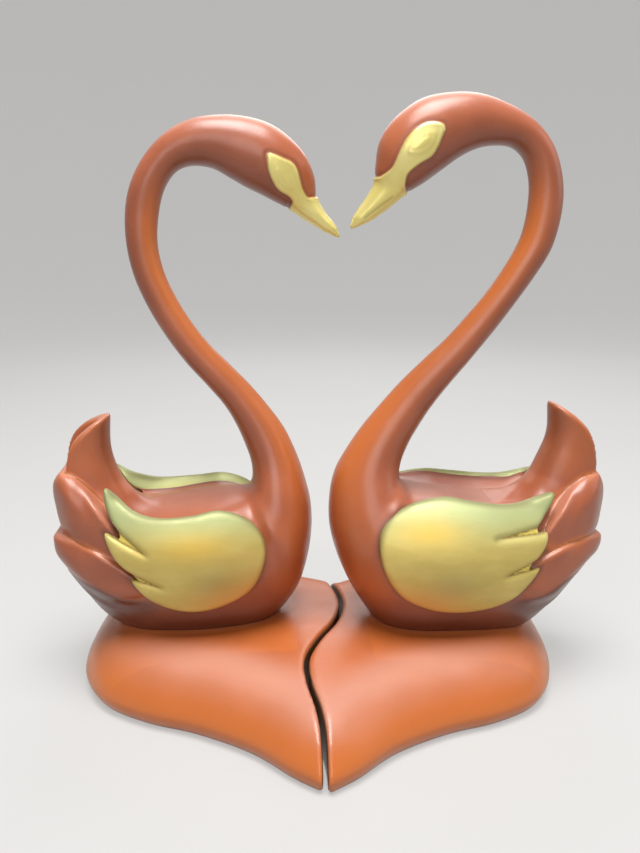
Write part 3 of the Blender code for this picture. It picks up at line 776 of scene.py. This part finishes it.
def heart_values(field):
    """Distance field of the whole pillow-shaped heart, lower towards its tip."""
    x, y = np.meshgrid(field.axes[0], field.axes[1], indexing="ij")
    flat = edge_distance(x, y, heart_outline())[:, :, None]
    top = BASE_THICKNESS - (BASE_THICKNESS - TIP_THICKNESS) * np.clip(y / HEART_TIP_Y, 0, 1) ** 2
    foot = FOOT_INSET * (1 - ramp(field.z, -1, 10)) ** 2
    notch = ramp(y, 10, 55) * (1 - ramp(np.abs(x - HEART_X), 25, 60))
    roll = (BASE_ROLL + (BASE_BACK_ROLL - BASE_ROLL) * notch)[:, :, None]
    values = soft_max(flat + foot, field.z - top[:, :, None], roll)
    return soft_max(values, -field.z, BASE_FOOT_ROLL)


def base_pieces(swans, castings, paints):
    """Both halves of the base with rounded edges along the split."""
    low = (HEART_X - HEART_HALF_WIDTH - BASE_MARGIN, HEART_TIP_Y - BASE_MARGIN, -4)
    size = (2 * HEART_HALF_WIDTH + 3 * BASE_MARGIN, HEART_BACK_Y - HEART_TIP_Y + 2 * BASE_MARGIN,
            BASE_THICKNESS + 9)
    field = Field(low, size, BASE_VOXEL)
    heart = heart_values(field)
    curve = spline(SPLIT_POINTS, OUTLINE_STEPS)
    curve = np.vstack([(curve[0][0], 140), curve, (curve[-1][0], -140)])
    block = np.vstack([curve, [(-300, -140), (-300, 140)]])
    x, y = np.meshgrid(field.axes[0], field.axes[1], indexing="ij")
    split = edge_distance(x, y, block)
    for swan, (swan_field, body) in zip(swans, castings):
        to_split = (split if swan.facing == 1 else -split) + SPLIT_GAP / 2
        points, faces = field.surface(soft_max(heart, to_split[:, :, None], SPLIT_ROLL))
        points[:, 2] = np.maximum(points[:, 2], 0.0)
        local = swan.unplace(points)
        low_f, high_f = FIELD_LOW[0] + 1, FIELD_LOW[0] + FIELD_SIZE[0] - 1
        over = (local[:, 0] > low_f) & (local[:, 0] < high_f) & (np.abs(local[:, 1]) < 40)
        touch = np.where(over, swan_field.at(body, local), 40.0)
        near = np.exp(-((touch - 0.6) / 1.3) ** 2)
        on_top = ramp(points[:, 2], BASE_THICKNESS - 10, BASE_THICKNESS - 5)
        points[:, 2] += 0.6 * near * on_top
        to_edge = -edge_distance(points[:, 0], points[:, 1], heart_outline())
        wall = np.abs(edge_distance(points[:, 0], points[:, 1], block))
        # Painted shade along the base's foot, just above the floor
        foot_line = 0.5 * (1 - ramp(np.abs(points[:, 2] - 1.2), 0, 1.6))
        # Painted highlight on the front slopes of the base
        slope_highlight = np.exp(-((to_edge - 22) / 11) ** 2) * (1 - ramp(points[:, 1], -20, 5))
        slope_highlight = slope_highlight * ramp(points[:, 2], 12, 18)
        masks = {
            "gold": np.zeros(len(points)),
            # Orange: the paint's own tone, stronger low at the edge, plus painted light on the top next to
            # each body, where its shadow falls
            "orange": np.clip(0.45 + 0.5 * (1 - ramp(to_edge, 0, 16)) * (1 - ramp(points[:, 2], 10, 24))
                              + 0.35 * np.exp(-(touch / 12) ** 2), 0, 1),
            "dark": np.zeros(len(points)),
            # Painted shade along the foot and inside the split between the halves
            "crease_shade": np.maximum(foot_line, 0.95 * (1 - ramp(wall, 0.9, 1.7))),
            # A pale line along each body's foot, partly worn filler and partly painted highlight, and the
            # painted highlight on the front slopes
            "highlight_and_filler": np.maximum(0.3 * near * on_top, slope_highlight),
        }
        make_piece(swan.side + "_base", points, faces, masks, [paints["copper"]],
                   swan.side + "_swan")


class Nodes:
    """Short calls to build a material's nodes."""

    def __init__(self, name):
        self.material = bpy.data.materials.new(name)
        self.material.use_nodes = True
        self.tree = self.material.node_tree
        self.shader = self.tree.nodes["Principled BSDF"]

    def add(self, kind, values=(), **settings):
        node = self.tree.nodes.new(kind)
        for key, value in settings.items():
            setattr(node, key, value)
        for key, value in dict(values).items():
            self.put(node.inputs[key], value)
        return node

    def put(self, socket, value):
        if isinstance(value, bpy.types.NodeSocket):
            self.tree.links.new(value, socket)
        else:
            socket.default_value = value

    def mask(self, name):
        return self.add("ShaderNodeAttribute", attribute_name=name).outputs["Fac"]

    def math(self, operation, first, second):
        return self.add("ShaderNodeMath", {0: first, 1: second}, operation=operation).outputs[0]

    def mix(self, factor, first, second):
        node = self.add("ShaderNodeMix", data_type="RGBA")
        self.put(node.inputs["Factor"], factor)
        self.put(node.inputs[6], first)
        self.put(node.inputs[7], second)
        return node.outputs[2]

    def noise(self, scale, detail=3.0, stretch=None):
        place = self.add("ShaderNodeTexCoord").outputs["Object"]
        if stretch:
            place = self.add("ShaderNodeMapping", {"Vector": place, "Scale": stretch}).outputs[0]
        values = {"Vector": place, "Scale": scale, "Detail": detail}
        return self.add("ShaderNodeTexNoise", values).outputs["Fac"]

    def remap(self, value, low, high, to_low=0.0, to_high=1.0):
        return self.add("ShaderNodeMapRange", {0: value, 1: low, 2: high, 3: to_low, 4: to_high}).outputs[0]


def copper_paint(name):
    """Satin copper-brown with airbrushed orange, dust and wear, painted shade below and in creases, and a
    painted highlight.
    """
    n = Nodes(name)
    mottle = n.remap(n.noise(45.0), 0.35, 0.65)
    colour = n.mix(mottle, (0.36, 0.092, 0.04, 1), (0.44, 0.12, 0.052, 1))
    colour = n.mix(n.mask("orange"), colour, (0.68, 0.175, 0.03, 1))
    # Painted shade: low on the body, under the tail and the head, beside the wings and on forward faces high
    # on the tail
    colour = n.mix(n.math("MULTIPLY", n.mask("dark"), 0.85), colour, (0.105, 0.029, 0.017, 1))
    # Painted highlight, pinkish pale, on crowns, feather rims and the base's front slopes, with a pale filler
    # line at each body's foot
    colour = n.mix(n.math("MULTIPLY", n.mask("highlight_and_filler"), 0.5), colour, (0.66, 0.36, 0.29, 1))
    specks = n.remap(n.noise(900.0, 2.0), 0.7, 0.76)
    colour = n.mix(n.math("MULTIPLY", specks, 0.22), colour, (0.72, 0.4, 0.28, 1))
    chips = n.math("MULTIPLY", n.remap(n.noise(380.0, 4.0), 0.64, 0.69), n.mask("wear"))
    colour = n.mix(n.math("MULTIPLY", chips, 0.7), colour, (0.09, 0.03, 0.02, 1))
    gold = n.mix(mottle, (0.83, 0.69, 0.2, 1), (0.91, 0.8, 0.3, 1))
    mask = n.mask("gold")
    colour = n.mix(mask, colour, gold)
    # Painted shade in creases: mouth line, round the mask, between tail feathers, along the base's foot and
    # in the split
    colour = n.mix(n.mask("crease_shade"), colour, (0.12, 0.05, 0.02, 1))
    n.put(n.shader.inputs["Base Color"], colour)
    n.put(n.shader.inputs["Metallic"], n.math("MULTIPLY", mask, 0.4))
    n.put(n.shader.inputs["Roughness"], n.remap(n.noise(160.0), 0.3, 0.7, 0.3, 0.42))
    grain = n.add("ShaderNodeBump", {"Height": n.noise(700.0, 4.0), "Strength": 0.06, "Distance": 0.0006})
    n.put(n.shader.inputs["Normal"], grain.outputs[0])
    n.shader.inputs["Coat Weight"].default_value = 0.3
    n.shader.inputs["Coat Roughness"].default_value = 0.28
    return n.material


def gold_paint(name):
    """Satin gold with a painted reflection that makes it greener and paler towards the top of the wing,
    painted shade along its rim, and warmer at its lower front.
    """
    n = Nodes(name)
    mottle = n.remap(n.noise(70.0, 4.0, (1.0, 1.0, 2.5)), 0.3, 0.7)
    colour = n.mix(mottle, (0.62, 0.47, 0.12, 1), (0.72, 0.57, 0.17, 1))
    # Painted reflection: greener and paler over the upper part of the wing
    colour = n.mix(n.math("MULTIPLY", n.mask("top_reflection"), 0.9), colour, (0.46, 0.53, 0.25, 1))
    colour = n.mix(n.math("MULTIPLY", n.mask("glow"), 0.85), colour, (0.8, 0.54, 0.1, 1))
    colour = n.mix(n.math("MULTIPLY", n.mask("olive"), 0.7), colour, (0.4, 0.35, 0.11, 1))
    colour = n.mix(n.math("MULTIPLY", n.mask("warm"), 0.7), colour, (0.74, 0.33, 0.075, 1))
    # Painted shade along the wing's rim, wider along its top edge
    colour = n.mix(n.math("MULTIPLY", n.mask("rim"), 0.7), colour, (0.2, 0.18, 0.07, 1))
    colour = n.mix(n.math("MULTIPLY", n.mask("slit"), 0.9), colour, (0.95, 0.74, 0.14, 1))
    colour = n.mix(n.math("MULTIPLY", n.mask("shade"), 0.8), colour, (0.2, 0.1, 0.025, 1))
    n.put(n.shader.inputs["Base Color"], colour)
    n.shader.inputs["Metallic"].default_value = 0.3
    n.put(n.shader.inputs["Roughness"], n.remap(n.noise(220.0), 0.3, 0.7, 0.42, 0.54))
    grain = n.add("ShaderNodeBump", {"Height": n.noise(600.0, 4.0, (0.4, 1.0, 1.5)), "Strength": 0.1,
                                     "Distance": 0.0006})
    n.put(n.shader.inputs["Normal"], grain.outputs[0])
    return n.material


def studio():
    """Pale floor and background, soft lamps and the camera of the photograph."""
    scene = bpy.context.scene
    scene.view_settings.view_transform = "Standard"
    mesh = bpy.data.meshes.new("floor")
    bends = [math.pi * step / (2 * BEND_STEPS) for step in range(BEND_STEPS + 1)]
    rows = [(FLOOR_RADIUS + FLOOR_BEND * math.sin(bend), FLOOR_BEND * (1 - math.cos(bend))) for bend in bends]
    rows.append((FLOOR_RADIUS + FLOOR_BEND, FLOOR_TOP))
    turns = [2 * math.pi * side / FLOOR_SIDES for side in range(FLOOR_SIDES)]
    rim = [(math.cos(turn), math.sin(turn)) for turn in turns]
    points = [(radius * x, radius * y, lift) for radius, lift in rows for x, y in rim]
    faces = [tuple(range(FLOOR_SIDES))]
    for row in range(len(rows) - 1):
        for side in range(FLOOR_SIDES):
            after = (side + 1) % FLOOR_SIDES
            faces.append((row * FLOOR_SIDES + side, (row + 1) * FLOOR_SIDES + side,
                          (row + 1) * FLOOR_SIDES + after, row * FLOOR_SIDES + after))
    mesh.from_pydata(points, [], faces)
    mesh.shade_smooth()
    floor = bpy.data.objects.new("floor", mesh)
    scene.collection.objects.link(floor)
    n = Nodes("floor_paint")
    colour = n.mix(n.noise(8.0), (0.26, 0.257, 0.251, 1), (0.285, 0.282, 0.276, 1))
    n.put(n.shader.inputs["Base Color"], colour)
    n.shader.inputs["Roughness"].default_value = 0.9
    n.shader.inputs["Emission Color"].default_value = (1.0, 0.99, 0.97, 1)
    path = n.add("ShaderNodeLightPath").outputs
    seen = n.math("MAXIMUM", path["Is Camera Ray"], path["Is Glossy Ray"])
    n.put(n.shader.inputs["Emission Strength"], n.math("MULTIPLY", seen, 0.42))
    mesh.materials.append(n.material)
    world = bpy.data.worlds.new("studio")
    scene.world = world
    world.use_nodes = True
    back = world.node_tree.nodes["Background"]
    back.inputs["Color"].default_value = (0.86, 0.86, 0.85, 1)
    back.inputs["Strength"].default_value = 0.4
    for name, spot, size, power in LAMPS:
        lamp = bpy.data.lights.new(name, "AREA")
        lamp.energy = power
        lamp.size = size
        holder = bpy.data.objects.new(name, lamp)
        holder.location = spot
        aim = Vector((0, 0, LAMP_AIM)) - Vector(spot)
        holder.rotation_euler = aim.to_track_quat("-Z", "Y").to_euler()
        scene.collection.objects.link(holder)
    lens = bpy.data.cameras.new("camera")
    lens.sensor_width = SENSOR_WIDTH
    lens.lens = FOCAL_PIXELS * SENSOR_WIDTH / PICTURE_PIXELS
    lens.clip_start = 0.01
    camera = bpy.data.objects.new("camera", lens)
    camera.location = CAMERA_PLACE
    camera.rotation_euler = (math.radians(90 - CAMERA_TILT), 0, 0)
    scene.collection.objects.link(camera)
    scene.camera = camera


def main():
    paints = {"copper": copper_paint("copper_paint_satin"), "gold": gold_paint("gold_paint_satin")}
    left_feathers = {"top": LEFT_TOP_FEATHER, "middle": LEFT_MIDDLE_FEATHER, "lower": LEFT_LOWER_FEATHER}
    right_feathers = {"top": RIGHT_TOP_FEATHER, "middle": RIGHT_MIDDLE_FEATHER, "lower": RIGHT_LOWER_FEATHER}
    swans = [
        Swan("left", LEFT_SEAT_X, 1, LEFT_SECTIONS, LEFT_WING, left_feathers, LEFT_TWIST,
             LEFT_MASK, LEFT_MOUTH, LEFT_EYE, 23),
        Swan("right", RIGHT_SEAT_X, -1, RIGHT_SECTIONS, RIGHT_WING, right_feathers, RIGHT_TWIST,
             RIGHT_MASK, RIGHT_MOUTH, RIGHT_EYE, 24),
    ]
    castings = [swan_pieces(swan, paints) for swan in swans]
    base_pieces(swans, castings, paints)
    studio()


main()
